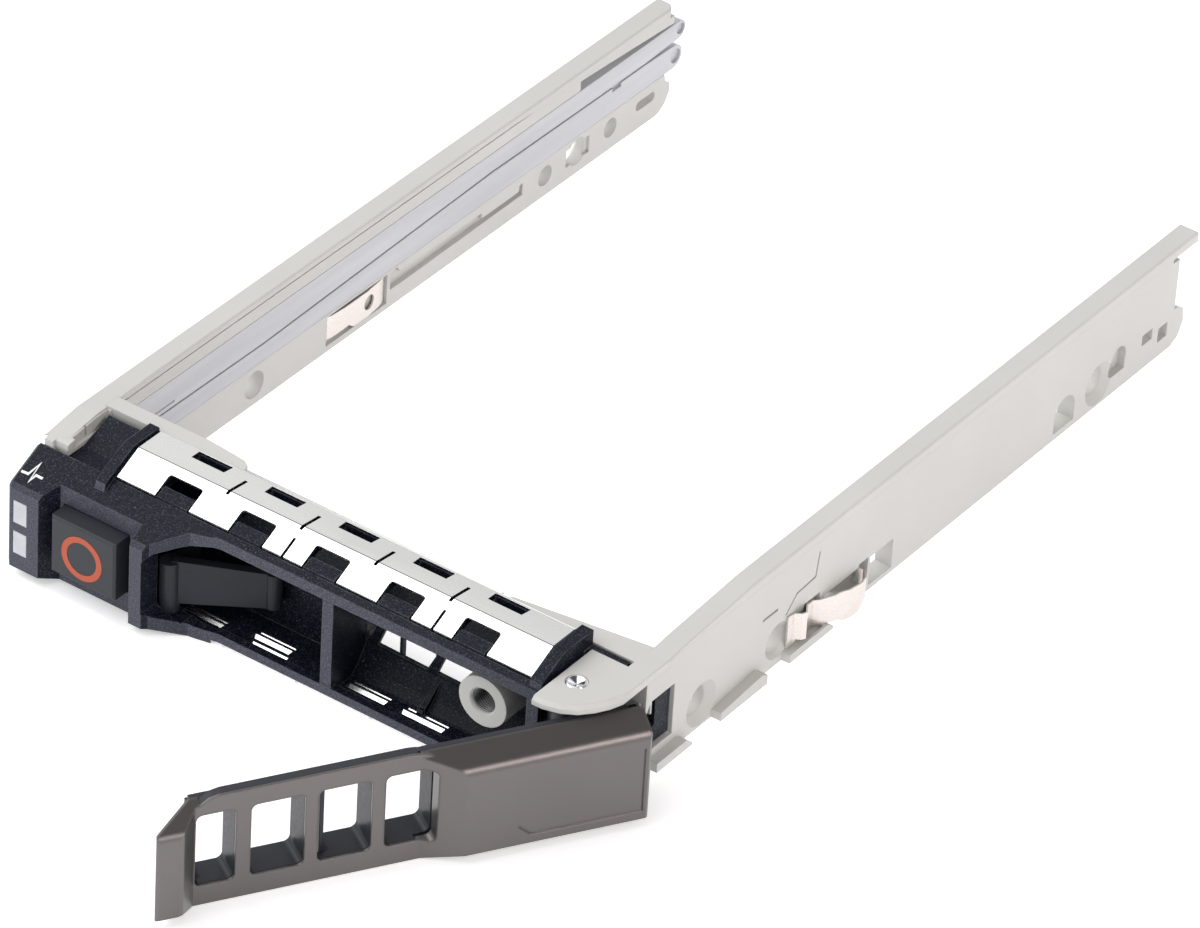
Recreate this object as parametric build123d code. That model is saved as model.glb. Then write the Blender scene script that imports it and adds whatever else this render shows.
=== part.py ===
from build123d import *
import os
import math

os.makedirs("parts", exist_ok=True)

# Carrier for a 2.5 inch drive.  Millimetres.  +X to the hinge side of the
# front handle, +Y towards the connector end, +Z up.
# y = 0 is the front face, z = 0 the underside of the front moulding.

# ---- driving dimensions -------------------------------------------------
FRONT_W = 76.4            # width of the front moulding
REAR_Y = 118.5            # length from front face to the arm ends
ARM_Z0 = 2.2              # underside of both arms, where the drive's base lies
ARM_Z1 = 16.3             # top of both arms
ARM_IN = 35.1             # inner face of the arms
ARM_OUT = 37.25           # outer face of the arms
LIP_OUT = 37.6            # outer edge of the top rail
SCREW_Y1 = 23.54          # front drive screw
SCREW_PITCH = 76.6        # drive screw spacing
SCREW_Z = 5.2             # 3.0 above the drive's base
SCREW_R = 1.75            # clearance hole for M3
PIV_X, PIV_Y = 32.3, 7.2  # handle pivot
OPEN_DEG = 58.2           # handle shown open by this much
PIN_R = 1.25
SLOPE0, SLOPE = 12.0, 0.5  # sloping top of the front: z = SLOPE0 + SLOPE*y
NOTCH_P = 9.9             # pitch of the shield's notches
LATCH_X, LATCH_Y = -8.6, 9.0   # latch pivot
BTN_TRAVEL = 1.6
FLOOR_SLOTS = ((-18.4, -13.3, 5.9), (-9.8, -4.8, 6.9), (0.9 + 2.4, 8.4, 6.4), (10.4, 16.0, 6.4), (20.2, 25.4, 6.4))


def bx(x0, x1, y0, y1, z0, z1):
    return Pos((x0 + x1) / 2, (y0 + y1) / 2, (z0 + z1) / 2) * Box(abs(x1 - x0), abs(y1 - y0), abs(z1 - z0))


def px(pts, x0, x1):
    """Polygon in (y, z) drawn out along X."""
    f = make_face(Polyline(*[(x0, y, z) for y, z in pts], close=True))
    return extrude(f, amount=abs(x1 - x0), dir=(1, 0, 0))


def pz(pts, z0, z1):
    """Polygon in (x, y) drawn out along Z."""
    f = make_face(Polyline(*[(x, y, z0) for x, y in pts], close=True))
    return extrude(f, amount=abs(z1 - z0), dir=(0, 0, 1))


def py(pts, y0, y1):
    """Polygon in (x, z) drawn out along Y."""
    f = make_face(Polyline(*[(x, y0, z) for x, z in pts], close=True))
    return extrude(f, amount=abs(y1 - y0), dir=(0, 1, 0))


def cz(x, y, r, z0, z1):
    return Pos(x, y, (z0 + z1) / 2) * Cylinder(r, z1 - z0)


def cx(y, z, r, x0, x1):
    return Pos((x0 + x1) / 2, y, z) * Rot(0, 90, 0) * Cylinder(r, abs(x1 - x0))


def cy(x, z, r, y0, y1):
    return Pos(x, (y0 + y1) / 2, z) * Rot(90, 0, 0) * Cylinder(r, y1 - y0)


def coney(x, z, r0, r1, y0, y1):
    """Cone along Y, r0 at y0 and r1 at y1."""
    return Pos(x, (y0 + y1) / 2, z) * Rot(-90, 0, 0) * Cone(r0, r1, y1 - y0)


def conex(y, z, r0, r1, x0, x1):
    return Pos((x0 + x1) / 2, y, z) * Rot(0, 90, 0) * Cone(r0, r1, x1 - x0)


def one(s):
    """The largest solid of a result, for shapes meant to be one body."""
    sol = s.solids()
    if len(sol) == 1:
        return sol[0]
    return sorted(sol, key=lambda q: q.volume)[-1]


def chamf(s, pred, d):
    es = [e for e in s.edges() if pred(e)]
    if not es:
        return s
    try:
        return chamfer(es, d)
    except Exception:
        return s


def fil(s, pred, r):
    es = [e for e in s.edges() if pred(e)]
    if not es:
        return s
    try:
        return fillet(es, r)
    except Exception:
        return s


def turn_open(s):
    """From the closed position of the handle to the open one."""
    return Pos(PIV_X, PIV_Y, 0) * Rot(0, 0, OPEN_DEG) * Pos(-PIV_X, -PIV_Y, 0) * s


def strip(pts, width_z0, width_z1, t):
    """Bent strip: centre line in (x, y), thickness t, upright from z0 to z1."""
    w = Polyline(*[(x, y, width_z0) for x, y in pts])
    left, right = [], []
    n = len(pts)
    for i in range(n):
        if i == 0:
            dx, dy = pts[1][0] - pts[0][0], pts[1][1] - pts[0][1]
            k = 1.0
        elif i == n - 1:
            dx, dy = pts[-1][0] - pts[-2][0], pts[-1][1] - pts[-2][1]
            k = 1.0
        else:
            a = (pts[i][0] - pts[i - 1][0], pts[i][1] - pts[i - 1][1])
            b = (pts[i + 1][0] - pts[i][0], pts[i + 1][1] - pts[i][1])
            la, lb = math.hypot(*a), math.hypot(*b)
            a = (a[0] / la, a[1] / la)
            b = (b[0] / lb, b[1] / lb)
            dx, dy = a[0] + b[0], a[1] + b[1]
            m = math.hypot(dx, dy)
            k = 1.0 / max(0.5, m / 2)
        m = math.hypot(dx, dy)
        nx, ny = -dy / m * t / 2 * k, dx / m * t / 2 * k
        left.append((pts[i][0] + nx, pts[i][1] + ny))
        right.append((pts[i][0] - nx, pts[i][1] - ny))
    return pz(left + right[::-1], width_z0, width_z1)


def coil(radius, wire, height, turns):
    """Round wire spring standing on z = 0, as one solid."""
    pitch = (height - 2 * wire) / turns
    path = Helix(pitch=pitch, height=height - 2 * wire, radius=radius)
    prof = Plane(origin=path @ 0, z_dir=path % 0) * Circle(wire)
    return Pos(0, 0, wire) * sweep(prof, path=path, is_frenet=True)


# =========================================================================
# Frame: two arms, cross bar, hinge plate and screw boss, moulded in one
# =========================================================================
def arm_left():
    a = bx(-ARM_OUT, -ARM_IN, 5.3, REAR_Y, ARM_Z0, 7.3)
    a += bx(-ARM_OUT, -36.15, 5.3, REAR_Y, 7.2, 15.6)
    # strip under the rail, with a fine groove between them
    a += bx(-ARM_OUT, -35.0, 13.2, 100.0, 13.68, 15.32)
    a += bx(-ARM_OUT, -35.35, 13.2, 100.0, 15.3, 15.6)
    rail = py([(-LIP_OUT, 15.35), (-LIP_OUT, ARM_Z1 - 0.15), (-LIP_OUT + 0.15, ARM_Z1), (-35.1, ARM_Z1),
               (-34.95, 16.15), (-34.95, 15.52), (-35.2, 15.52), (-ARM_OUT, 15.4)], 5.3, REAR_Y)
    a += rail
    # the rail grows deeper towards the rear
    a += px([(86.0, 15.55), (104.0, 14.8), (REAR_Y, 13.95), (REAR_Y, 15.6), (86.0, 15.6)], -36.2, -34.97)
    # rounded rear end of the rail, in plan
    a -= bx(-36.2, -34.0, REAR_Y - 1.4, REAR_Y + 1, 15.0, 17) - cz(-36.25, REAR_Y - 1.4, 1.4, 14, 18)
    # rear end below the rail: steps where the light guides end
    a -= px([(REAR_Y - 3.4, 2.0), (REAR_Y - 2.0, 2.35), (REAR_Y - 0.8, 3.1), (REAR_Y, 4.4), (REAR_Y + 1, 4.4), (REAR_Y + 1, 2.0)], -38, -34)
    a -= px([(REAR_Y - 1.2, 7.4), (REAR_Y - 0.9, 6.2), (REAR_Y, 5.6), (REAR_Y + 1, 5.6), (REAR_Y + 1, 7.4)], -38, -34)
    # pocket line in the top at the front and the step beside it
    a -= bx(-35.0, -34.0, 4.9, 13.0, 7.3, 17)
    a -= pz([(-35.2, 5.2), (-34.0, 5.2), (-34.0, 6.4)], 7.3, 17)
    # lower top towards the front
    a -= px([(4.0, 15.1), (6.2, 15.45), (11.5, 16.2), (22.0, 16.3), (22.0, 18.0), (4.0, 18.0)], -38.5, -34.0)
    a += bx(-36.4, -34.4, 5.75, 13.3, 13.95, 16.0) - px([(5.7, 15.3), (6.2, 15.45), (11.5, 16.05), (5.7, 16.2)], -37, -34)
    a -= px([(6.6, 14.5), (7.6, 17.0), (13.0, 17.0), (13.0, 14.5)], -34.8, -34.0)
    a -= bx(-35.05, -34.7, 9.1, 9.4, 14.6, 17)
    a -= bx(-36.3, -34, 4.9, 12.95, 3.1, 13.95)
    # guide rails at the foot of the outer face
    for y0, y1 in ((14.0, 20.4), (25.6, 34.2), (38.6, 46.8)):
        a += px([(y0, 2.2), (y0, 3.3), (y1 - 1.0, 3.3), (y1, 2.6), (y1, 2.2)], -38.5, -37.2)
    # round opening, seat of the spring clip, long slot, holes at the rear
    a -= cx(39.5, 4.85, 1.7, -38, -34)
    a -= bx(-35.6, -34.9, 52.6, 63.8, 3.0, 6.95)
    a -= bx(-38, -34, 62.0, 63.6, 3.6, 6.4)
    a -= px([(64.4, 4.6), (64.4, 7.0), (65.6, 7.0), (66.2, 6.15), (81.6, 6.1), (81.7, 5.35), (88.8, 5.35), (88.9, 6.2), (89.5, 6.2), (89.5, 4.65), (66.0, 4.5)], -35.75, -34)
    a -= cx(93.9, 5.0, 1.3, -38, -34)
    a -= cx(106.7, 5.2, 1.25, -38, -34)
    a -= bx(-38, -34, 112.4, 114.9, 4.75, 6.0) + cx(112.4, 5.375, 0.625, -38, -34) + cx(114.9, 5.375, 0.625, -38, -34)
    for sy in (SCREW_Y1, SCREW_Y1 + SCREW_PITCH):
        a -= cx(sy, SCREW_Z, SCREW_R, -38, -34)
        a -= conex(sy, SCREW_Z, 2.6, SCREW_R, -37.26, -36.55)
    a -= bx(-35.45, -34.9, 98.0, 102.5, 4.0, 6.3)
    return a


def arm_right():
    a = bx(ARM_IN, ARM_OUT, 13.0, REAR_Y - 3.0, ARM_Z0, 15.4)
    a += fil(bx(ARM_IN, LIP_OUT, 12.0, REAR_Y, 15.1, ARM_Z1), lambda e: abs(e.center().X - LIP_OUT) < 0.01 and abs(e.center().Z - ARM_Z1) < 0.01, 0.28)
    # rear hook
    a += px([(REAR_Y - 4.3, 2.9), (REAR_Y - 3.2, 2.2), (REAR_Y - 1.7, 2.9), (REAR_Y - 0.8, 4.6), (REAR_Y - 1.1, 6.4),
             (REAR_Y - 2.4, 7.2), (REAR_Y - 4.8, 7.2), (REAR_Y - 4.8, 2.9)], ARM_IN, ARM_OUT)
    # lower top towards the front, down to the hinge plate
    a -= px([(11.0, 15.2), (16.0, 15.2), (19.0, 15.5), (32.0, 16.3), (32.0, 18.0), (11.0, 18.0)], 34.0, 38.5)
    # fine groove below the lip, and the notch at its rear end
    a -= px([(14.0, 14.4), (19.0, 14.7), (32.0, 14.9), (112.6, 14.9), (112.6, 15.12), (32.0, 15.12), (19.0, 14.95), (14.0, 14.6)], 36.9, 38)
    a -= bx(36.3, 38, 114.2, 115.6, 14.1, 15.12)
    # window for the handle's tail; the wall starts behind the swinging end
    a -= bx(34.5, 38.5, 12.5, 18.2, 4.4, 11.0)
    a += px([(13.0, 15.0), (13.0, 9.6), (14.1, 11.05), (14.1, 15.0)], 36.75, ARM_OUT)
    # guide rails at the foot of the outer face
    a += px([(14.0, 2.2), (14.0, 3.4), (19.4, 3.4), (20.4, 2.5), (20.4, 2.2)], 37.2, 38.5)
    a += px([(25.6, 2.2), (25.6, 3.3), (33.2, 3.9), (34.2, 3.4), (34.2, 2.2)], 37.2, 38.5)
    a += px([(38.6, 2.2), (38.6, 3.3), (45.8, 3.3), (46.8, 2.6), (46.8, 2.2)], 37.2, 38.3)
    # drive screws: two holes per side, and the second front hole
    for sy in (SCREW_Y1, SCREW_Y1 + SCREW_PITCH):
        a -= cx(sy, SCREW_Z, SCREW_R, 34, 38)
        a -= conex(sy, SCREW_Z, SCREW_R, 2.75, 36.3, 37.26)
    a -= cx(37.6, 5.4, SCREW_R, 34, 38)
    a -= conex(37.6, 5.4, SCREW_R, 2.3, 36.6, 37.26)
    # pocket round the rear screw, small slots behind it
    a -= cx(104.0, 6.6, 1.5, 36.3, 38) + bx(36.3, 38, 102.6, 105.4, 4.6, 6.6)
    a -= bx(34, 38, 108.9, 111.0, 5.6, 7.0)
    a -= bx(36.4, 38, 112.3, 114.2, 4.3, 6.2)
    # arched opening
    a -= cx(93.2, 5.1, 2.05, 34, 38) + bx(34, 38, 91.15, 95.25, 3.1, 5.1)
    # square opening and the opening behind the leaf spring
    a -= bx(34, 38, 54.9, 59.3, 2.9, 6.7)
    a -= bx(34, 38, 46.2, 49.6, 4.3, 6.5)
    a -= bx(35.7, 38, 49.5, 53.8, 4.3, 6.5)
    a -= bx(36.55, 38, 42.3, 45.3, 2.95, 7.5)
    a -= bx(36.2, 38, 52.7, 54.5, 3.1, 6.9)
    # shallow marks on the outer face
    g = 0.32
    a -= bx(ARM_OUT - g, 38, 34.4, 37.2, 9.62, 9.95)
    a -= px([(39.0, 8.0), (40.8, 9.75), (44.3, 10.05), (44.8, 13.2), (44.55, 13.2), (44.07, 10.3), (40.68, 10.0), (38.8, 8.15)],
            ARM_OUT - g, 38)
    return a


frame = arm_left() + arm_right()
# cross bar behind the front moulding
frame += bx(-ARM_OUT, ARM_OUT, 13.2, 15.2, 12.4, 14.3)
frame += pz([(-35.3, 13.2), (-35.3, 15.3), (-23.0, 15.3), (-17.4, 14.7), (-16.6, 14.2), (-16.4, 13.75), (-16.4, 13.2)], 14.2, ARM_Z1)
frame += pz([(18.0, 13.85), (18.0, 14.5), (18.5, 14.85), (35.0, 17.2), (35.6, 17.2), (35.6, 13.85)], 14.2, 15.2)
# round the two inside corners
frame += pz([(-35.3, 15.2), (-35.3, 17.2), (-34.6, 15.9), (-33.6, 15.2)], 7.4, 15.0)
frame += pz([(35.3, 16.0), (35.3, 18.2), (34.8, 17.0), (33.8, 16.2)], 4.0, 14.6)
# posts of the cross bar
frame += bx(-ARM_OUT, -29.5, 13.2, 15.2, ARM_Z0, 13)
frame += bx(30.0, ARM_OUT, 13.85, 16.2, ARM_Z0, 14.3)
frame += bx(18.6, 25.1, 13.2, 15.2, 4.6, 13)
frame += py([(4.6, 5.0), (6.0, 5.0), (8.6, 13.0), (7.2, 13.0)], 13.2, 14.4)
frame += bx(4.2, 6.4, 13.2, 14.4, 4.6, 5.4)
# screw boss, facing the front
frame += cy(21.85, 8.6, 3.1, 5.3, 13.4)
frame -= cy(21.85, 8.6, 1.5, 5.0, 15.6)
frame -= coney(21.85, 8.6, 1.72, 1.5, 5.29, 5.5)
# hinge plate with its round front edge, and the plate below
hp = pz([(30.2, 2.15), (31.6, 2.2), (33.5, 2.75), (35.0, 3.7), (36.2, 5.1), (37.1, 6.7), (LIP_OUT, 8.2), (LIP_OUT, 16.6), (30.2, 16.6)], 14.2, 15.2)
hp = chamf(hp, lambda e: abs(e.center().Z - 15.2) < 0.01 and e.center().Y < 8.0 and e.center().X > 30.4 and e.center().X < 37.5, 0.45)
hp &= bx(30.2, LIP_OUT, 0, 17.0, 14, 15.3)
hp -= bx(28.0, 34.9, 12.75, 13.85, 13, 15.3)
frame += hp
low = cz(PIV_X, PIV_Y, 3.0, 1.9, 3.1) + bx(29.6, 35.0, PIV_Y + 1.5, 16.0, 1.9, 3.1) + bx(29.6, ARM_OUT, 13.0, 16.2, 1.9, 3.1)
frame += low
frame += bx(ARM_IN, ARM_OUT, 13.0, 19.0, ARM_Z0, 4.4)
frame -= bx(28.0, 34.9, 12.75, 13.85, 12.7, 15.3)
frame -= bx(33.0, 35.2, 12.0, 15.15, 7.2, 10.7)
frame -= bx(35.0, 36.7, 12.0, 18.2, 4.4, 11.0)
frame -= bx(36.6, 38.0, 14.1, 18.2, 4.4, 11.0)
frame -= bx(36.6, 38.0, 11.9, 18.2, 4.4, 9.4)
# room for the light guides
frame -= bx(-36.3, -35.4, 13.1, 15.45, 7.25, 13.95)
frame -= bx(-36.3, -34.93, 15.3, 17.4, 7.35, 13.9)
# pin bores
frame -= cz(PIV_X, PIV_Y, PIN_R, 0, 17)
frame = one(frame)

# =========================================================================
# Front moulding
# =========================================================================
HALF = FRONT_W / 2


def front():
    prof = [(0.0, 1.2), (0.0, 11.55), (0.45, 12.15), (8.6, 16.3), (12.6, 16.3), (12.6, 0.0), (3.7, 0.0)]
    b = px(prof, -HALF, 29.6)
    b = chamf(b, lambda e: abs(e.center().X + HALF) < 0.01 and e.center().Y < 9 and e.center().Z > 0.5, 0.5)
    # arm zone at the left and the sunk panel beside it
    b -= bx(-39, -34.9, 5.2, 13, -1, 18)
    b -= px([(5.2, 13.85), (5.2, 18), (13, 18), (13, 13.9)], -35.1, -34.3)
    b -= px([(5.2, 13.85), (8.2, 13.95), (12.7, 15.8), (12.7, 18), (5.2, 18)], -34.35, -28.7)
    # seat of the shield on the slope and the flat top
    b -= px([(5.0, SLOPE0 + 2.5 + 0.05), (8.6, 16.3 + 0.02), (8.6, 18), (5.0, 18)], -27.6, 28.2)
    b -= px([(5.15, SLOPE0 + 0.5 * 5.15 - 0.35), (8.75, 16.0), (12.7, 16.0), (12.7, 18), (5.15, 18)], -27.5, 28.1)
    # handle zone
    b -= pz([(-19.6, -1), (-19.6, 0.0), (-19.2, 0.7), (-15.9, 3.5), (-12.3, 4.3), (31, 4.3), (31, -1)], -1, 18)
    # opening between the bars
    b -= py([(-19.7, 3.1), (-18.9, 2.5), (-15.3, 1.5), (28.1, 1.5), (28.1, 12.75), (-13.2, 12.75), (-16.6, 11.85),
             (-18.9, 10.9), (-19.7, 10.0)], -1, 6.0)
    # hollow behind it, and the free end beside the hub
    b -= px([(5.4, 1.0), (5.4, 13.3), (8.4, 14.8), (10.5, 14.8), (10.5, 1.0)], -19.7, 28.1)
    b -= bx(28.9, 32, 4.9, 14, -1, 13.75)
    b -= pz([(-20.6, 2.9), (-16.4, 2.9), (-16.4, 6.2), (-20.6, 6.2)], 1.7, 9.6)
    b -= px([(3.5, 1.2), (3.5, 12.2), (6.0, 12.9), (11.5, 12.9), (11.5, 1.2)], -32.6, -28.6)
    b -= px([(3.5, 1.2), (3.5, 12.2), (8.4, 14.4), (11.5, 14.4), (11.5, 1.2)], -28.7, -19.6)
    # button recess
    b -= pz([(-33.8, -1), (-33.8, 0.0), (-32.5, 2.2), (-21.3, 2.2), (-21.3, -1)], -1, 18)
    b -= bx(-32.05, -22.95, 1.0, 4.0, 3.15, 10.85)
    # block: openings for the light guides
    b -= bx(-37.25, -35.35, -1, 5.3, 7.15, 10.15)
    b -= bx(-37.25, -35.35, -1, 5.3, 3.1, 6.1)
    # upright between the two bays
    b += bx(1.2, 2.65, 4.45, 10.7, 0.5, 13.4)
    # pockets below the notches of the shield
    for k in range(-2, 3):
        c = k * NOTCH_P
        b -= bx(c - 2.5, c + 2.5, 6.7, 9.4, 12.5, 18)
        b += px([(5.15, 14.2), (5.15, 14.9), (6.7, 15.35), (6.7, 14.2)], c - 2.05, c + 2.05)
        b += bx(c - 2.3, c + 2.3, 6.3, 6.75, 13.6, 15.2)
    # wall behind the openings under the slots of the flat top
    b += bx(-27.4, 28.0, 12.3, 12.88, 15.0, 16.42)
    for k in range(-2, 3):
        c = k * NOTCH_P + 0.5
        b -= bx(c - 2.4, c + 2.4, 10.9, 12.45, 14.0, 18)
    # grooves under the slits
    for x in (-14.85, -4.95, 4.95, 14.85):
        b -= bx(x - 0.35, x + 0.5, 8.4, 10.9, 15.3, 18)
    for x in (-4.95, 14.95):
        b -= px([(5.2, 13.6), (7.4, 14.7), (7.4, 17.0), (5.2, 17.0)], x - 0.2, x + 0.2)
    # ribs beside the shield
    rib = [(3.4, 13.5), (3.7, 14.55), (5.3, 15.5), (8.5, 17.0), (12.9, 17.0), (12.9, 15.0), (5.0, 13.0)]
    b += px(rib, -28.9, -27.6)
    b += px([(4.5, 13.9), (4.6, 15.0), (5.3, 15.5), (8.5, 17.0), (13.6, 17.0), (13.6, 15.0), (6.5, 14.2), (5.2, 13.7)], 28.2, 29.7)
    # catch in the slot of the hinge plate
    b += bx(29.0, 34.5, 12.95, 13.65, 13.4, 15.1)
    b += bx(28.6, 29.8, 12.0, 13.65, 13.0, 15.1)
    # snap tab that stands in the window of the right arm
    b += bx(28.3, 36.9, 12.0, 12.6, 4.8, 7.0) + bx(36.1, 36.9, 12.0, 17.9, 4.8, 7.0)
    b += bx(36.1, 36.9, 15.3, 17.9, 4.8, 10.7)
    # slots in the floor
    for x0, x1, y0 in FLOOR_SLOTS:
        b -= bx(x0, x1, y0 - 0.1, y0 + 0.72, -1, 2)
        b -= bx(x0 + 0.6, x1 + 0.4, y0 - 0.98, y0 - 0.52, -1, 2)
        b -= bx(x0 + 0.3, x1 + 0.1, y0 + 1.0, y0 + 1.28, -1, 2)
    b -= bx(-26.5, 27.5, 4.1, 14, -1, 0.42)
    # rear wall: slanting openings
    for x0 in (4.3, 12.2):
        b -= py([(x0, 4.6), (x0 + 6.5, 4.45), (x0 + 7.6, 6.7), (x0 + 7.6, 7.0), (x0 + 0.9, 7.0)], 10.0, 13)
        b -= bx(x0 - 1.5, x0 + 7.6, 10.95, 13, 2.4, 7.0)
    b -= py([(3.1, 4.8), (4.0, 6.9), (2.75, 6.9), (2.75, 5.6)], 10.0, 13)
    b += px([(10.3, 5.2), (10.3, 7.1), (10.9, 7.1), (10.9, 4.0)], 7.3, 7.7)
    # ribs on the floor
    for x0 in (1.9, 12.1):
        b += px([(5.0, 0.7), (6.4, 1.05), (8.4, 2.3), (10.7, 4.3), (10.7, 0.7)], x0, x0 + 0.7)
    b += px([(7.3, 0.7), (8.2, 1.15), (9.2, 2.1), (10.7, 4.3), (10.7, 0.7)], 2.6, 28.2)
    for x0, x1, y0 in FLOOR_SLOTS:
        b -= bx(x0, x1, y0 - 0.1, y0 + 0.72, -1, 2)
        b -= bx(x0 + 0.6, x1 + 0.4, y0 - 0.98, y0 - 0.52, -1, 2)
        b -= bx(x0 + 0.3, x1 + 0.1, y0 + 1.0, y0 + 1.28, -1, 2)
    # passage of the boss and ring round it
    b += cy(21.85, 8.6, 4.2, 10.6, 12.0) & bx(17, 27, 10.6, 12.0, 1.0, 14.0)
    b -= cy(21.85, 8.6, 3.25, 3, 13)
    # pivot of the latch: post in the roof
    b += cz(LATCH_X, LATCH_Y, 1.25, 11.6, 14.6)
    b -= cz(LATCH_X, LATCH_Y, 0.52, 5.0, 13.6)
    # guide of the button and seat of its spring
    b += (bx(-33.0, -22.0, 3.0, 6.0, 1.0, 12.2) - bx(-32.05, -22.95, 2.0, 7.0, 3.15, 10.85)) & px(
        [(3.0, 0.5), (3.0, 12.4), (6.0, 13.6), (6.0, 0.5)], -34, -21.5)
    b += cy(-27.5, 7.0, 2.2, 10.4, 12.0)
    b -= cy(-27.5, 7.0, 1.8, 9.0, 11.3)
    # rear of the block: hollow for the light guides
    b -= bx(-37.5, -34.6, 1.6, 5.3, 2.9, 10.4)
    return b


bezel = one(front())

# =========================================================================
# Shields: folded sheet
# =========================================================================
T = 0.2


def shield_top():
    def layer(o0, o1):
        # the sheet's side profile between two offsets from the slope
        return [(5.25, SLOPE0 + 2.625 + o0), (8.95, 16.475 + o0), (12.75, 16.475 + o0), (13.75, 15.95 + o0),
                (13.75, 15.95 + o1), (12.75, 16.475 + o1), (8.95, 16.475 + o1), (5.25, SLOPE0 + 2.625 + o1)]
    s = px(layer(0.05, 0.05 + T), -27.3, 27.9)
    # the rear hem only between the cross bar's two thick ends
    s -= bx(-30, -16.2, 12.95, 15, 14, 18)
    s -= bx(18.0, 30, 12.95, 15, 14, 18)
    for k in range(-2, 3):
        c = k * NOTCH_P
        n = bx(c - 2.3, c + 2.3, 4.0, 7.85, 13, 18)
        n = fil(n, lambda e: abs(e.center().Y - 7.85) < 0.01 and abs((e @ 0).X - (e @ 1).X) < 0.01 and abs((e @ 0).Z - (e @ 1).Z) > 1, 0.35)
        s -= n
        c2 = c + 0.45
        s -= pz([(c2 - 2.45, 12.9), (c2 + 2.2, 12.9), (c2 + 1.9, 11.15), (c2 - 2.5, 11.15)], 13, 18) & px(
            [(11.0, 16.3), (11.0, 17.2), (11.95, 17.2), (12.5, 16.725), (12.72, 16.53), (12.72, 16.3)], -28, 28)
    for x in (-14.85, -4.95, 4.95, 14.85):
        s -= pz([(x - 0.3, 8.5), (x + 0.1, 8.5), (x + 0.45, 11.5), (x + 0.05, 11.5)], 13, 18)
    for x in (-4.95, 14.95):
        s -= bx(x - 0.17, x + 0.17, 5.0, 7.5, 13, 18)
    return one(s)


shield_upper = shield_top()


def shield_bottom():
    # folded strip in the underside, with sprung tongues towards the front
    s = px([(4.5, 0.02), (7.3, 0.02), (8.6, 0.02), (12.8, 0.02), (12.8, 0.22), (4.5, 0.22)], -26.0, 27.0)
    for k in range(-2, 3):
        c = k * NOTCH_P
        s -= bx(c - 2.4, c + 1.8, 8.8, 11.6, -2, 1)
    for k in range(-2, 4):
        s -= bx(-4.95 - 7.0 + k * NOTCH_P, -4.95 - 6.7 + k * NOTCH_P, 4.0, 4.8, -2, 1)
    for x0, x1, y0 in FLOOR_SLOTS:
        for d0, d1, ya, yb in ((0.0, 0.0, y0 - 0.1, y0 + 0.72), (0.6, 0.4, y0 - 0.98, y0 - 0.52), (0.3, 0.1, y0 + 1.0, y0 + 1.28)):
            s += px([(ya + 0.04, 0.1), (ya + 0.04, 0.98 - 0.78 * (yb - ya - 0.08)), (yb - 0.04, 0.98), (yb - 0.04, 0.1)],
                    x0 + d0 + 0.05, x1 + d1 - 0.05)
    return one(s)


shield_lower = shield_bottom()

# =========================================================================
# Light guides: window at the front, flat bar along the left arm
# =========================================================================
def guide_end(low, top, y_end, zc, r):
    """Bar beside the web: lower and upper edge as (y, z) points, round end."""
    g = px(low + [(y_end - r, zc - r), (y_end - r, zc + r)] + top[::-1], -36.12, -35.02)
    g += cx(y_end - r, zc, r, -36.12, -35.02)
    g -= cx(y_end - r + 0.3, zc, r * 0.6, -35.35, -34.9)
    return g


LINE = [(15.5, 9.95), (41.0, 9.75), (83.0, 11.0), (104.0, 10.85), (113.0, 10.85)]   # between the two bars


def guide_upper():
    g = bx(-37.2, -35.4, 0.0, 2.6, 7.2, 10.1) + bx(-36.12, -35.5, 2.5, 8.2, 7.5, 10.0)
    g += bx(-36.12, -35.5, 6.4, 8.2, 7.5, 13.6) + bx(-36.12, -35.5, 6.4, 15.6, 10.3, 13.6)
    g += guide_end([(y, z + 0.13) for y, z in LINE], [(15.5, 13.6), (113.0, 13.6)], 120.9, 12.45, 1.2)
    # rib at the front of the inner face and small steps along it
    g -= bx(-35.12, -35.0, 16.5, 25.0, 10.5, 10.75)
    return one(g)


def guide_lower():
    g = bx(-37.2, -35.4, 0.0, 2.6, 3.15, 6.05) + bx(-36.12, -35.5, 2.5, 11.4, 3.35, 5.9)
    g += bx(-36.12, -35.5, 9.7, 11.4, 3.35, 9.8) + bx(-36.12, -35.5, 9.7, 15.6, 7.4, 9.8)
    g += guide_end([(15.5, 7.4), (113.0, 7.4)], [(y, z - 0.13) for y, z in LINE], 120.5, 9.0, 1.55)
    g -= bx(-35.4, -35.0, 106.6, 108.3, 10.2, 10.9)
    return one(g)


# =========================================================================
# Release button, its ring and spring
# =========================================================================
button = bx(-31.9, -23.1, -0.2, 7.9, 3.3, 10.7)
button = chamf(button, lambda e: abs(e.center().Y + 0.2) < 0.01, 0.25)
button -= bx(-31.0, -24.0, 1.2, 8.5, 4.2, 9.8)
button += cy(-27.5, 7.0, 1.5, 0.5, 7.9)
button += bx(-27.9, -23.9, 6.6, 7.9, 5.6, 8.1)
button += bx(-31.5, -23.5, 6.6, 7.4, 6.3, 7.7)
ring_cut = cy(-27.6, 6.8, 2.77, -0.5, 0.12) - cy(-27.6, 6.8, 2.0, -0.6, 0.2)
button -= ring_cut
button = one(button)
button_ring = one(cy(-27.6, 6.8, 2.76, -0.23, 0.11) - cy(-27.6, 6.8, 2.01, -0.6, 0.2))
button_spring = Pos(-27.5, 7.95, 7.0) * Rot(-90, 0, 0) * coil(1.3, 0.12, 3.0, 4)

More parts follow.
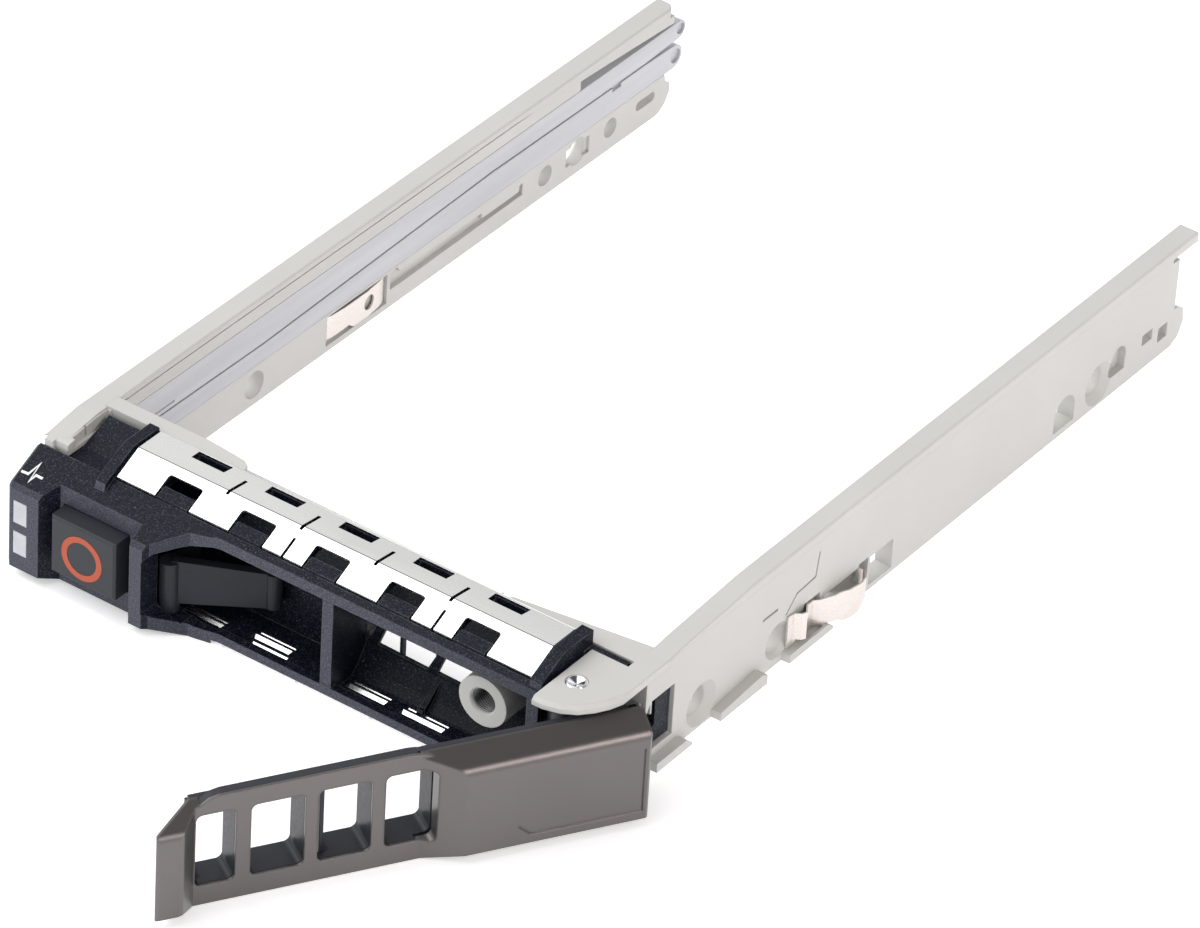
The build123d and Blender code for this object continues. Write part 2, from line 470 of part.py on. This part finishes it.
# =========================================================================
# Latch: round nose, tapering arm, pivot
# =========================================================================
latch = cz(-19.0, 4.2, 1.2, 2.0, 8.4)
tip = py([(0.0, 3.0), (0.0, 8.6), (10.9, 8.9), (10.9, 4.4)], -0.55, 0.55)
latch += Pos(-18.8, 4.3, 0) * Rot(0, 0, 24.4) * tip
latch += cz(LATCH_X, LATCH_Y, 0.95, 4.42, 8.88)
latch += bx(-24.9, -18.5, 8.15, 8.95, 5.4, 8.2) + bx(-19.8, -18.8, 4.6, 8.5, 5.4, 8.0)
latch -= cz(LATCH_X, LATCH_Y, 0.54, 0, 14)
latch = one(latch)
latch_pin = cz(LATCH_X, LATCH_Y, 0.5, 4.8, 13.5)

# =========================================================================
# Handle, drawn closed and then swung open about its pin
# =========================================================================
HX0, HX1 = -16.4, 38.2    # ends of the handle when closed


WINDOWS = ((-11.3, -6.9), (-5.25, 0.7), (2.1, 8.05), (9.5, 15.0))


def handle_cover():
    # outer skin: thick end, sunk middle with four windows, raised finger lip
    skin = px([(0.0, 1.2), (0.0, 12.05), (3.25, 13.6), (3.25, 0.1), (2.6, 0.1)], 13.4, HX1)
    skin = fil(skin, lambda e: abs(e.center().Y) < 0.01 and abs(e.center().Z - 12.05) < 0.01, 1.5)
    skin &= pz([(13.4, 2.5), (17.3, 0.18), (17.6, 0.0), (HX1 - 0.35, 0.0), (HX1, 0.35), (HX1, 2.9), (HX1 - 0.35, 3.25), (13.4, 3.25)], -1, 15)
    mid = py([(-11.4, 0.1), (-11.4, 11.6), (-10.9, 12.9), (-9.9, 13.6), (-8.9, 13.85), (12.3, 13.85), (13.9, 13.62), (15.3, 13.0), (16.2, 12.4),
              (16.2, 0.35), (14.0, 0.1)], 2.5, 2.85)
    mid += bx(13.2, 16.2, 2.6, 3.25, 0.4, 12.3)
    lip = px([(0.0, 1.2), (0.0, 11.6), (3.6, 13.45), (3.6, 0.1), (2.6, 0.1)], HX0, -10.9)
    lip = fil(lip, lambda e: abs(e.center().Y) < 0.01 and abs(e.center().Z - 11.6) < 0.01, 1.2)
    lip &= pz([(HX0, 0.25), (-16.15, 0.0), (-13.9, 0.0), (-13.3, 0.35), (-11.4, 2.5), (-10.9, 2.5), (-10.9, 3.6), (-11.9, 3.6), (HX0 + 0.1, 0.6)], -1, 15)
    c = skin + mid + lip
    for x0, x1 in WINDOWS:
        w = bx(x0, x1, -1, 5, 2.5, 11.7)
        w = fil(w, lambda e: abs((e @ 0).Y - (e @ 1).Y) > 3, 0.75)
        c -= w
    # hollow back of the thick end
    c -= bx(18.4, 37.3, 1.2, 5, 1.3, 12.0)
    # sunk label field with its grooves
    c -= bx(24.6, 37.5, -0.2, 0.16, 2.25, 2.45)
    c -= bx(37.28, 37.5, -0.2, 0.16, 2.25, 10.4)
    c -= py([(23.4, 3.55), (23.6, 3.7), (25.0, 2.45), (24.8, 2.25)], -0.2, 0.16)
    return one(c)


def handle_core():
    # dark inner lever: back plate, frames round the windows, hub and tail
    c = py([(-11.0, 1.0), (-11.0, 11.5), (-10.0, 13.2), (18.3, 13.2), (18.3, 1.0)], 3.65, 4.0)
    c += py([(-10.8, 1.2), (-10.8, 12.0), (-10.3, 13.0), (-9.4, 13.6), (-8.4, 13.8), (12.2, 13.8), (13.1, 13.7), (13.1, 1.2)], 2.9, 4.0)
    c += py([(12.0, 12.0), (12.0, 13.7), (13.1, 13.7), (13.6, 13.55), (18.6, 13.55), (18.6, 12.0)], 3.3, 4.0)
    frames = ((-11.2, -6.3), (-5.8, 0.98), (2.87, 8.65), (8.95, 15.6))
    backs = (6.4, 6.8, 6.8, 6.8)
    for (x0, x1), (f0, f1), yb in zip(WINDOWS, frames, backs):
        c += bx(f0, f1, 3.65, yb, 2.05, 12.3)
        w = bx(max(x0 + 0.02, f0 + 0.45), x1, 3.95, 8, 2.55, 11.65)
        c -= fil(w, lambda e: abs((e @ 0).Y - (e @ 1).Y) > 3, 0.75)
        c -= fil(bx(x0 + 0.02, x1 - 0.0, 2.8, 4.05, 2.55, 11.65), lambda e: abs((e @ 0).Y - (e @ 1).Y) > 0.9, 0.75)
    c -= bx(-12.0, 17.0, 5.55, 7.5, 11.3, 12.6)
    c += bx(18.6, 37.1, 1.3, 3.85, 1.5, 11.8)
    c += bx(18.0, 36.6, 3.3, 4.0, 1.5, 13.55)
    c -= bx(20.5, 29.0, 2.4, 5, 3.0, 11.0)
    # stop behind the lip
    c += bx(-13.4, -10.9, 3.85, 4.4, 3.2, 6.6)
    # hub
    c += cz(PIV_X, PIV_Y, 2.9, 3.3, 13.5)
    c += bx(PIV_X - 1.6, PIV_X + 1.6, 3.4, PIV_Y, 3.3, 13.4)
    c -= cz(PIV_X, PIV_Y, 3.3, 4.2, 7.4) - cz(PIV_X, PIV_Y, 1.8, 4.0, 7.6)
    c -= cz(PIV_X, PIV_Y, PIN_R + 0.06, 0, 15)
    # tail
    c += pz([(PIV_X + 1.8, PIV_Y - 1.4), (PIV_X + 7.4, PIV_Y - 0.6), (PIV_X + 8.0, PIV_Y + 0.4), (PIV_X + 7.6, PIV_Y + 1.7),
             (PIV_X + 1.8, PIV_Y + 1.7)], 7.6, 9.25)
    return one(c)


handle_cover_c = handle_cover()
handle_core_c = handle_core()
handle_cover_o = turn_open(handle_cover_c)
handle_core_o = turn_open(handle_core_c)

handle_pin = cz(PIV_X, PIV_Y, PIN_R - 0.01, 1.9, 15.3)
handle_pin = chamf(handle_pin, lambda e: abs(e.center().Z - 15.3) < 0.01, 0.15)
handle_pin -= Pos(PIV_X, PIV_Y, 15.11) * Cone(0.1, 0.95, 0.4)
handle_spring = Pos(PIV_X, PIV_Y, 4.35) * coil(2.15, 0.2, 2.6, 4)

# =========================================================================
# Springs on the arms and the small screw in the boss
# =========================================================================
ground_spring = strip([(37.42, 39.0), (37.43, 40.2), (38.1, 40.8), (38.25, 41.4), (37.6, 42.4), (37.0, 43.3), (36.95, 44.4), (37.5, 45.0), (38.3, 46.6),
                       (38.8, 48.8), (38.75, 51.0), (38.3, 52.6), (37.2, 53.9), (36.6, 53.6)], 2.2, 7.8, 0.2)
ground_spring &= px([(38.5, 7.8), (40.3, 7.6), (43.2, 7.3), (43.3, 6.75), (45.2, 6.75), (47.5, 6.8), (52.6, 5.8), (54.5, 5.6), (54.5, 3.4), (52.8, 3.15), (50.3, 2.5),
                     (48.0, 2.8), (47.0, 3.35), (43.3, 3.4), (43.2, 3.6), (40.3, 4.2), (40.2, 3.6), (38.5, 3.6)], 35, 40)
ground_spring = one(ground_spring)
clip = strip([(-35.45, 53.0), (-35.25, 53.6), (-35.07, 56.0), (-35.07, 60.0), (-35.3, 62.4), (-35.45, 63.4)], 3.2, 6.7, 0.22)
clip -= cx(60.4, 5.0, 0.95, -36, -34)
clip -= px([(52, 2.5), (52, 3.6), (56.6, 3.9), (58.5, 2.5)], -36, -34)

boss_screw = cy(21.85, 8.6, 1.42, 8.4, 14.6) - (bx(21.55, 22.15, 8.2, 9.2, 7.7, 9.5) + bx(20.95, 22.75, 8.2, 9.2, 8.3, 8.9))

# =========================================================================
# Export, one file per piece
# =========================================================================
pieces = {
    "frame": frame,
    "bezel": bezel,
    "shield_upper": shield_upper,
    "shield_lower": shield_lower,
    "light_guide_upper": guide_upper(),
    "light_guide_lower": guide_lower(),
    "button": button,
    "button_ring": button_ring,
    "button_spring": button_spring,
    "latch": latch,
    "latch_pin": latch_pin,
    "handle_cover": handle_cover_o,
    "handle_core": handle_core_o,
    "handle_pin": handle_pin,
    "handle_spring": handle_spring,
    "ground_spring": ground_spring,
    "arm_clip": clip,
    "boss_screw": boss_screw,
}
lo = [1e9] * 3
hi = [-1e9] * 3
for shape in pieces.values():
    bb = shape.bounding_box()
    for i, (a, b) in enumerate(((bb.min.X, bb.max.X), (bb.min.Y, bb.max.Y), (bb.min.Z, bb.max.Z))):
        lo[i], hi[i] = min(lo[i], a), max(hi[i], b)
# the origin goes under the middle of the whole carrier, handle open
SHIFT = (-round((lo[0] + hi[0]) / 2, 3), -round((lo[1] + hi[1]) / 2, 3), -round(lo[2], 3))
print("shift", SHIFT, "overall", [round(h - l, 2) for l, h in zip(lo, hi)])
for name, shape in pieces.items():
    shape = Pos(*SHIFT) * shape
    export_step(shape, "parts/" + name + ".step")
    bb = shape.bounding_box()
    print(name, len(shape.solids()), "solids", round(shape.volume, 1), "mm3",
          [round(v, 2) for v in (bb.min.X, bb.max.X, bb.min.Y, bb.max.Y, bb.min.Z, bb.max.Z)])
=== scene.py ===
import bpy
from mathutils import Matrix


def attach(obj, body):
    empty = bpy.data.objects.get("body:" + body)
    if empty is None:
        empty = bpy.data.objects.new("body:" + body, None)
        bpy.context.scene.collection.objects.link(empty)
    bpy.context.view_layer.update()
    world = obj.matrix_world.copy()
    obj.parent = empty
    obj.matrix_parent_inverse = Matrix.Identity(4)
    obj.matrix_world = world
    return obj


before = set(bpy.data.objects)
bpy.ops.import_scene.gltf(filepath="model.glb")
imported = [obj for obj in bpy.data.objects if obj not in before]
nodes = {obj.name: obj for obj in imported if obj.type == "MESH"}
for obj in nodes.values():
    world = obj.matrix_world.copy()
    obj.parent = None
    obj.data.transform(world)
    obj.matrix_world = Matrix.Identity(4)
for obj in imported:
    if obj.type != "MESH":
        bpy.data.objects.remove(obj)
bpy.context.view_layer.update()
import bpy
import math
import mathutils
from mathutils import Vector, Matrix

# shift from the modelling frame (front face y = 0, centre x = 0) to the row frame, mm
SX, SY, SZ = -1.422, -41.524, 0.0


def P(x, y, z):
    return Vector(((x + SX) / 1000.0, (y + SY) / 1000.0, (z + SZ) / 1000.0))


# ------------------------------------------------------------- materials
def new_mat(name, color, rough, metallic=0.0, spec=0.5, coat=0.0, coat_rough=0.1, aniso=0.0):
    m = bpy.data.materials.new(name)
    m.use_nodes = True
    nt = m.node_tree
    b = nt.nodes["Principled BSDF"]
    b.inputs["Base Color"].default_value = (*color, 1.0)
    b.inputs["Roughness"].default_value = rough
    b.inputs["Metallic"].default_value = metallic
    b.inputs["Specular IOR Level"].default_value = spec
    b.inputs["Coat Weight"].default_value = coat
    b.inputs["Coat Roughness"].default_value = coat_rough
    b.inputs["Anisotropic"].default_value = aniso
    return m, nt, b


def coords(nt, scale=(1, 1, 1)):
    tc = nt.nodes.new("ShaderNodeTexCoord")
    mp = nt.nodes.new("ShaderNodeMapping")
    mp.inputs["Scale"].default_value = scale
    nt.links.new(tc.outputs["Object"], mp.inputs["Vector"])
    return mp.outputs["Vector"]


def noise(nt, vec, scale, detail=2.0, rough=0.5):
    n = nt.nodes.new("ShaderNodeTexNoise")
    n.inputs["Scale"].default_value = scale
    n.inputs["Detail"].default_value = detail
    n.inputs["Roughness"].default_value = rough
    nt.links.new(vec, n.inputs["Vector"])
    return n.outputs["Fac"]


def ramp(nt, fac, stops):
    r = nt.nodes.new("ShaderNodeValToRGB")
    el = r.color_ramp.elements
    el[0].position, el[0].color = stops[0][0], (*stops[0][1], 1)
    el[1].position, el[1].color = stops[-1][0], (*stops[-1][1], 1)
    for p, c in stops[1:-1]:
        e = el.new(p)
        e.color = (*c, 1)
    nt.links.new(fac, r.inputs["Fac"])
    return r.outputs["Color"]


def bump(nt, bsdf, height, strength, distance, edge=0.0):
    bp = nt.nodes.new("ShaderNodeBump")
    bp.inputs["Strength"].default_value = strength
    bp.inputs["Distance"].default_value = distance
    nt.links.new(height, bp.inputs["Height"])
    if edge > 0:
        bv = nt.nodes.new("ShaderNodeBevel")
        bv.samples = 4
        bv.inputs["Radius"].default_value = edge
        nt.links.new(bv.outputs["Normal"], bp.inputs["Normal"])
    nt.links.new(bp.outputs["Normal"], bsdf.inputs["Normal"])
    return bp


def maprange(nt, val, a, b, c, d):
    n = nt.nodes.new("ShaderNodeMapRange")
    n.inputs["From Min"].default_value = a
    n.inputs["From Max"].default_value = b
    n.inputs["To Min"].default_value = c
    n.inputs["To Max"].default_value = d
    nt.links.new(val, n.inputs["Value"])
    return n.outputs["Result"]


def shade(c, k):
    return tuple(v * k for v in c)


def plastic(name, color, rough, grain, grain_h, edge=0.00012, vary=0.05, spec=0.28):
    m, nt, b = new_mat(name, color, rough, spec=spec)
    v = coords(nt)
    g = noise(nt, v, grain, 3.0, 0.6)
    large = noise(nt, v, 60.0, 3.0, 0.5)
    col = ramp(nt, large, [(0.3, shade(color, 1 - vary)), (0.7, shade(color, 1 + vary))])
    nt.links.new(col, b.inputs["Base Color"])
    rr = maprange(nt, g, 0.3, 0.7, rough - 0.06, rough + 0.06)
    nt.links.new(rr, b.inputs["Roughness"])
    bump(nt, b, g, 0.6, grain_h, edge)
    return m


frame_mat = plastic("frame_plastic", (0.565, 0.563, 0.542), 0.46, 2600.0, 0.00001, 0.00018, 0.03)
button_mat = plastic("button_plastic", (0.031, 0.033, 0.041), 0.42, 5200.0, 0.00001, 0.00012, 0.08)
latch_mat = plastic("latch_plastic", (0.024, 0.026, 0.034), 0.34, 1800.0, 0.000006, 0.0001, 0.10, spec=0.2)
core_mat = plastic("core_plastic", (0.028, 0.030, 0.038), 0.36, 2400.0, 0.000008, 0.00015, 0.12)
ring_mat = plastic("ring_paint", (0.44, 0.088, 0.044), 0.5, 4000.0, 0.000006, 0.00004, 0.05)

# black front: dense spark grain on the sloping top, finer grain elsewhere; faces turned to the front near the front
# edge get a paler colour, which is painted light, and edges are painted brighter, partly rubbed wear and partly
# painted highlight
m, nt, b = new_mat("front_plastic", (0.010, 0.012, 0.018), 0.40, spec=0.12)
v = coords(nt)
coarse = noise(nt, v, 5600.0, 2.0, 0.6)
fine = noise(nt, v, 7800.0, 2.0, 0.5)
patch = noise(nt, v, 420.0, 3.0, 0.6)
geo = nt.nodes.new("ShaderNodeNewGeometry")
sep = nt.nodes.new("ShaderNodeSeparateXYZ")
nt.links.new(geo.outputs["Normal"], sep.inputs["Vector"])
up = maprange(nt, sep.outputs["Z"], 0.55, 0.85, 0.0, 1.0)
mix = nt.nodes.new("ShaderNodeMix")
mix.data_type = "FLOAT"
nt.links.new(up, mix.inputs["Factor"])
nt.links.new(fine, mix.inputs["A"])
nt.links.new(coarse, mix.inputs["B"])
dark = ramp(nt, coarse, [(0.42, (0.0030, 0.0042, 0.0085)), (0.56, (0.0100, 0.0130, 0.0230)), (0.66, (0.040, 0.045, 0.062)), (0.78, (0.120, 0.126, 0.148))])
lit_front_pale_col = ramp(nt, fine, [(0.40, (0.043, 0.046, 0.062)), (0.60, (0.086, 0.091, 0.118)), (0.75, (0.150, 0.156, 0.185))])
# painted light: faces turned to the front, near the front edge, take the paler ramp instead of the dark one
facing_f = maprange(nt, sep.outputs["Y"], -0.55, -0.90, 0.0, 1.0)
tcy = nt.nodes.new("ShaderNodeTexCoord")
spy = nt.nodes.new("ShaderNodeSeparateXYZ")
nt.links.new(tcy.outputs["Object"], spy.inputs["Vector"])
near_f = maprange(nt, spy.outputs["Y"], (4.7 + SY) / 1000.0, (5.0 + SY) / 1000.0, 1.0, 0.0)
both = nt.nodes.new("ShaderNodeMath")
both.operation = "MULTIPLY"
nt.links.new(facing_f, both.inputs[0])
nt.links.new(near_f, both.inputs[1])
front = both.outputs["Value"]
fcol = nt.nodes.new("ShaderNodeMix")
fcol.data_type = "RGBA"
nt.links.new(front, fcol.inputs[0])
nt.links.new(dark, fcol.inputs[6])
nt.links.new(lit_front_pale_col, fcol.inputs[7])
col = fcol.outputs[2]
# painted highlight, partly rubbed wear: edges found through the bevel normal are mixed towards a brighter grey
wear_and_highlight_bevel = nt.nodes.new("ShaderNodeBevel")
wear_and_highlight_bevel.samples = 6
wear_and_highlight_bevel.inputs["Radius"].default_value = 0.00022
facing = nt.nodes.new("ShaderNodeVectorMath")
facing.operation = "DOT_PRODUCT"
nt.links.new(wear_and_highlight_bevel.outputs["Normal"], facing.inputs[0])
nt.links.new(geo.outputs["True Normal"], facing.inputs[1])
edge_f = maprange(nt, facing.outputs["Value"], 0.985, 0.80, 0.0, 1.0)
edge_n = maprange(nt, patch, 0.42, 0.60, 0.25, 0.85)
mul = nt.nodes.new("ShaderNodeMath")
mul.operation = "MULTIPLY"
nt.links.new(edge_f, mul.inputs[0])
nt.links.new(edge_n, mul.inputs[1])
cm = nt.nodes.new("ShaderNodeMix")
cm.data_type = "RGBA"
nt.links.new(mul.outputs["Value"], cm.inputs[0])
nt.links.new(col, cm.inputs[6])
cm.inputs[7].default_value = (0.150, 0.155, 0.175, 1.0)
nt.links.new(cm.outputs[2], b.inputs["Base Color"])
bump(nt, b, mix.outputs["Result"], 0.8, 0.00002, 0.00020)
front_mat = m

# bright folded sheet, with a dark line painted along the fold as painted shade in the crease
m, nt, b = new_mat("shield_steel", (0.90, 0.90, 0.89), 0.24, metallic=1.0, aniso=0.3)
v = coords(nt, (40, 900, 900))
g = noise(nt, v, 6.0, 3.0, 0.6)
nt.links.new(maprange(nt, g, 0.3, 0.7, 0.21, 0.29), b.inputs["Roughness"])
bump(nt, b, g, 0.10, 0.000003, 0.00004)
tcf = nt.nodes.new("ShaderNodeTexCoord")
sf = nt.nodes.new("ShaderNodeSeparateXYZ")
nt.links.new(tcf.outputs["Object"], sf.inputs["Vector"])
off = nt.nodes.new("ShaderNodeMath")
off.operation = "ADD"
nt.links.new(sf.outputs["Y"], off.inputs[0])
off.inputs[1].default_value = -(8.95 + SY) / 1000.0
ab = nt.nodes.new("ShaderNodeMath")
ab.operation = "ABSOLUTE"
nt.links.new(off.outputs["Value"], ab.inputs[0])
# painted shade: base colour goes dark in a thin line along the fold at y 8.95
fold_shade_mask = maprange(nt, ab.outputs["Value"], 0.00004, 0.00009, 1.0, 0.0)
fm2 = nt.nodes.new("ShaderNodeMix")
fm2.data_type = "RGBA"
nt.links.new(fold_shade_mask, fm2.inputs[0])
fm2.inputs[6].default_value = (0.90, 0.90, 0.89, 1.0)
fm2.inputs[7].default_value = (0.10, 0.10, 0.11, 1.0)
nt.links.new(fm2.outputs[2], b.inputs["Base Color"])
shield_mat = m

# clear-grey light guide
m, nt, b = new_mat("guide_plastic", (0.50, 0.515, 0.56), 0.26, spec=0.35, coat=0.2, coat_rough=0.12)
v = coords(nt, (200, 12, 200))
g = noise(nt, v, 3.0, 2.0, 0.5)
col = ramp(nt, g, [(0.3, (0.47, 0.48, 0.515)), (0.7, (0.535, 0.545, 0.58))])
nt.links.new(col, b.inputs["Base Color"])
bump(nt, b, g, 0.3, 0.00002, 0.0002)
guide_mat = m

# grey metallic coat of the handle
m, nt, b = new_mat("handle_coat", (0.135, 0.125, 0.122), 0.30, metallic=0.7, coat=0.12, coat_rough=0.28)
v = coords(nt)
g = noise(nt, v, 9000.0, 2.0, 0.5)
large = noise(nt, v, 45.0, 2.0, 0.5)
col = ramp(nt, large, [(0.3, (0.134, 0.124, 0.121)), (0.7, (0.150, 0.139, 0.136))])
nt.links.new(col, b.inputs["Base Color"])
nt.links.new(maprange(nt, g, 0.3, 0.7, 0.285, 0.315), b.inputs["Roughness"])
bump(nt, b, g, 0.08, 0.000002, 0.00040)
handle_mat = m

# spring strip, pins
m, nt, b = new_mat("spring_steel", (0.80, 0.74, 0.71), 0.30, metallic=0.9)
v = coords(nt, (900, 60, 900))
g = noise(nt, v, 5.0, 3.0, 0.6)
nt.links.new(maprange(nt, g, 0.3, 0.7, 0.24, 0.38), b.inputs["Roughness"])
bump(nt, b, g, 0.3, 0.000005, 0.00004)
spring_mat = m
m, nt, b = new_mat("pin_steel", (0.78, 0.78, 0.80), 0.16, metallic=1.0)
v = coords(nt)
g = noise(nt, v, 1500.0, 2.0, 0.5)
nt.links.new(maprange(nt, g, 0.3, 0.7, 0.12, 0.22), b.inputs["Roughness"])
bump(nt, b, g, 0.4, 0.00001, 0.00008)
pin_mat = m
# printed mark
m, nt, b = new_mat("mark_paint", (0.80, 0.81, 0.82), 0.5)
v = coords(nt)
g = noise(nt, v, 3000.0, 2.0, 0.5)
bump(nt, b, g, 0.4, 0.000005)
mark_mat = m

LOOK = {
    "frame": frame_mat, "bezel": front_mat, "shield_upper": shield_mat, "shield_lower": shield_mat,
    "light_guide_upper": guide_mat, "light_guide_lower": guide_mat, "button": button_mat, "button_ring": ring_mat,
    # painted shade: latch_pin takes the dark latch plastic instead of steel, so the pin reads as the dark opening
    # around it
    "button_spring": spring_mat, "latch": latch_mat, "latch_pin": latch_mat, "handle_cover": handle_mat,
    "handle_core": core_mat, "handle_pin": pin_mat, "handle_spring": spring_mat, "ground_spring": spring_mat,
    "arm_clip": spring_mat, "boss_screw": pin_mat,
}
for name, o in nodes.items():
    if not o.material_slots:
        o.data.materials.append(LOOK[name])
    for s in o.material_slots:
        s.material = LOOK[name]


# ------------------------------------------------------- added small parts
def mesh_obj(name, verts, faces, mat, body, smooth=False):
    me = bpy.data.meshes.new(name)
    me.from_pydata([tuple(v) for v in verts], [], faces)
    me.update()
    if smooth:
        for p in me.polygons:
            p.use_smooth = True
    o = bpy.data.objects.new(name, me)
    bpy.context.scene.collection.objects.link(o)
    me.materials.append(mat)
    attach(o, body)
    return o


def stroke(name, pts, width, lift, mat, body):
    """Flat bent stroke on the sloping top of the front, with a fine thickness."""
    verts, faces = [], []
    n = len(pts)
    for i, (x, y) in enumerate(pts):
        a = Vector(pts[max(i - 1, 0)])
        b = Vector(pts[min(i + 1, n - 1)])
        if 0 < i < n - 1:
            t = ((Vector(pts[i]) - a).normalized() + (b - Vector(pts[i])).normalized())
            k = 1.0 / max(0.45, t.length / 2)
            t.normalize()
        else:
            t = (b - a).normalized()
            k = 1.0
        nx, ny = -t.y * width / 2 * k, t.x * width / 2 * k
        for sx, sy in ((nx, ny), (-nx, -ny)):
            for dz in (lift, -0.05):
                verts.append(P(x + sx, y + sy, 11.921 + (y + sy) * 0.5092 + dz))
    for i in range(n - 1):
        q, r = 4 * i, 4 * i + 4
        faces += [(q, q + 2, r + 2, r), (q + 1, r + 1, r + 3, q + 3), (q, r, r + 1, q + 1), (q + 2, q + 3, r + 3, r + 2)]
    faces += [(0, 1, 3, 2), (4 * n - 4, 4 * n - 2, 4 * n - 1, 4 * n - 3)]
    return mesh_obj(name, verts, faces, mat, body)


# dark threaded sleeve in the bore of the boss, partly a threaded insert and partly painted shade that darkens the
# bore
m, nt, b = new_mat("sleeve_steel", (0.20, 0.20, 0.205), 0.34, metallic=0.85)
v = coords(nt)
g = noise(nt, v, 1400.0, 2.0, 0.5)
nt.links.new(maprange(nt, g, 0.3, 0.7, 0.28, 0.42), b.inputs["Roughness"])
bump(nt, b, g, 0.3, 0.000006, 0.00003)
sleeve_shade_mat = m
SEG = 56
prof = [(1.485, 5.75), (1.40, 5.75)]
yy = 5.82
while yy < 8.2:
    prof += [(1.32, yy), (1.32, yy + 0.10), (1.40, yy + 0.17), (1.40, yy + 0.24)]
    yy += 0.31
prof += [(1.40, 8.34), (1.485, 8.34)]
vv, ff = [], []
for r, y in prof:
    for k in range(SEG):
        t = 2 * math.pi * k / SEG
        vv.append(P(21.85 + r * math.cos(t), y, 8.6 + r * math.sin(t)))
np_ = len(prof)
for i in range(np_):
    j = (i + 1) % np_
    for k in range(SEG):
        q = (k + 1) % SEG
        ff.append((i * SEG + k, j * SEG + k, j * SEG + q, i * SEG + q))
mesh_obj("boss_sleeve", vv, ff, sleeve_shade_mat, "carrier", smooth=False)

stroke("activity_mark", [(-37.55, 1.72), (-36.62, 1.76), (-36.14, 3.2), (-36.0, 1.15), (-35.72, 1.97), (-34.8, 1.95)], 0.26, 0.03,
       mark_mat, "carrier")

# camera ---------------------------------------------------------------
AZ, EL, ROLL = math.radians(34.02), math.radians(35.60), math.radians(-3.52)
fwd = Vector((-math.sin(AZ) * math.cos(EL), math.cos(AZ) * math.cos(EL), -math.sin(EL)))
r0 = Vector((math.cos(AZ), math.sin(AZ), 0.0))
d0 = fwd.cross(r0)
c, s = math.cos(ROLL), math.sin(ROLL)
right = c * r0 + s * d0
down = -s * r0 + c * d0
cam_data = bpy.data.cameras.new("camera")
cam_data.sensor_fit = "HORIZONTAL"
cam_data.sensor_width = 36.0
cam_data.lens = 8334.4 * 36.0 / 1200.0
cam_data.clip_start = 0.01
cam_data.clip_end = 50.0
cam = bpy.data.objects.new("camera", cam_data)
bpy.context.scene.collection.objects.link(cam)
M = Matrix(((right.x, -down.x, -fwd.x), (right.y, -down.y, -fwd.y), (right.z, -down.z, -fwd.z))).to_4x4()
M.translation = P(419.52, -564.63, 537.56)
cam.matrix_world = M
bpy.context.scene.camera = cam

# floor and light --------------------------------------------------------
fm = bpy.data.materials.new("floor_pale")
fm.use_nodes = True
fb = fm.node_tree.nodes["Principled BSDF"]
fb.inputs["Base Color"].default_value = (0.92, 0.92, 0.93, 1)
fb.inputs["Roughness"].default_value = 0.9
fb.inputs["Specular IOR Level"].default_value = 0.0
fb.inputs["Emission Color"].default_value = (1.0, 1.0, 1.0, 1)
fb.inputs["Emission Strength"].default_value = 0.42
me = bpy.data.meshes.new("floor")
me.from_pydata([(-6, -6, 0), (6, -6, 0), (6, 6, 0), (-6, 6, 0)], [], [(0, 1, 2, 3)])
floor = bpy.data.objects.new("floor", me)
bpy.context.scene.collection.objects.link(floor)
me.materials.append(fm)

# sky: bright towards the sides and front, a duller patch high up behind
w = bpy.data.worlds.new("studio")
bpy.context.scene.world = w
w.use_nodes = True
wt = w.node_tree
wtc = wt.nodes.new("ShaderNodeTexCoord")
dot = wt.nodes.new("ShaderNodeVectorMath")
dot.operation = "DOT_PRODUCT"
dot.inputs[1].default_value = Vector((0.20, 0.36, 0.91)).normalized()
wt.links.new(wtc.outputs["Generated"], dot.inputs[0])
wr = wt.nodes.new("ShaderNodeValToRGB")
wr.color_ramp.elements[0].position = 0.66
wr.color_ramp.elements[0].color = (1.06, 1.06, 1.06, 1)
wr.color_ramp.elements[1].position = 0.90
wr.color_ramp.elements[1].color = (0.12, 0.12, 0.13, 1)
wt.links.new(dot.outputs["Value"], wr.inputs["Fac"])
wt.links.new(wr.outputs["Color"], wt.nodes["Background"].inputs["Color"])
wt.nodes["Background"].inputs["Strength"].default_value = 0.81


def area(name, loc, target, size, power, size_y=None):
    d = bpy.data.lights.new(name, "AREA")
    d.shape = "RECTANGLE"
    d.size = size
    d.size_y = size_y or size
    d.energy = power
    o = bpy.data.objects.new(name, d)
    bpy.context.scene.collection.objects.link(o)
    o.location = loc
    o.rotation_euler = (Vector(target) - Vector(loc)).to_track_quat("-Z", "Y").to_euler()
    return o


area("key", (-0.40, -0.18, 0.72), (0, 0, 0), 1.0, 5.2)
fill = area("fill", (0.76, -0.10, 0.54), (0, 0, 0.01), 0.15, 1.8, 0.36)
fill.data.color = (1.0, 0.88, 0.84)
area("back", (0.1, 0.8, 0.55), (0, 0, 0), 0.5, 0.5)

bpy.context.scene.view_settings.view_transform = "Standard"
bpy.context.scene.view_settings.look = "None"
bpy.context.scene.view_settings.exposure = 0.0
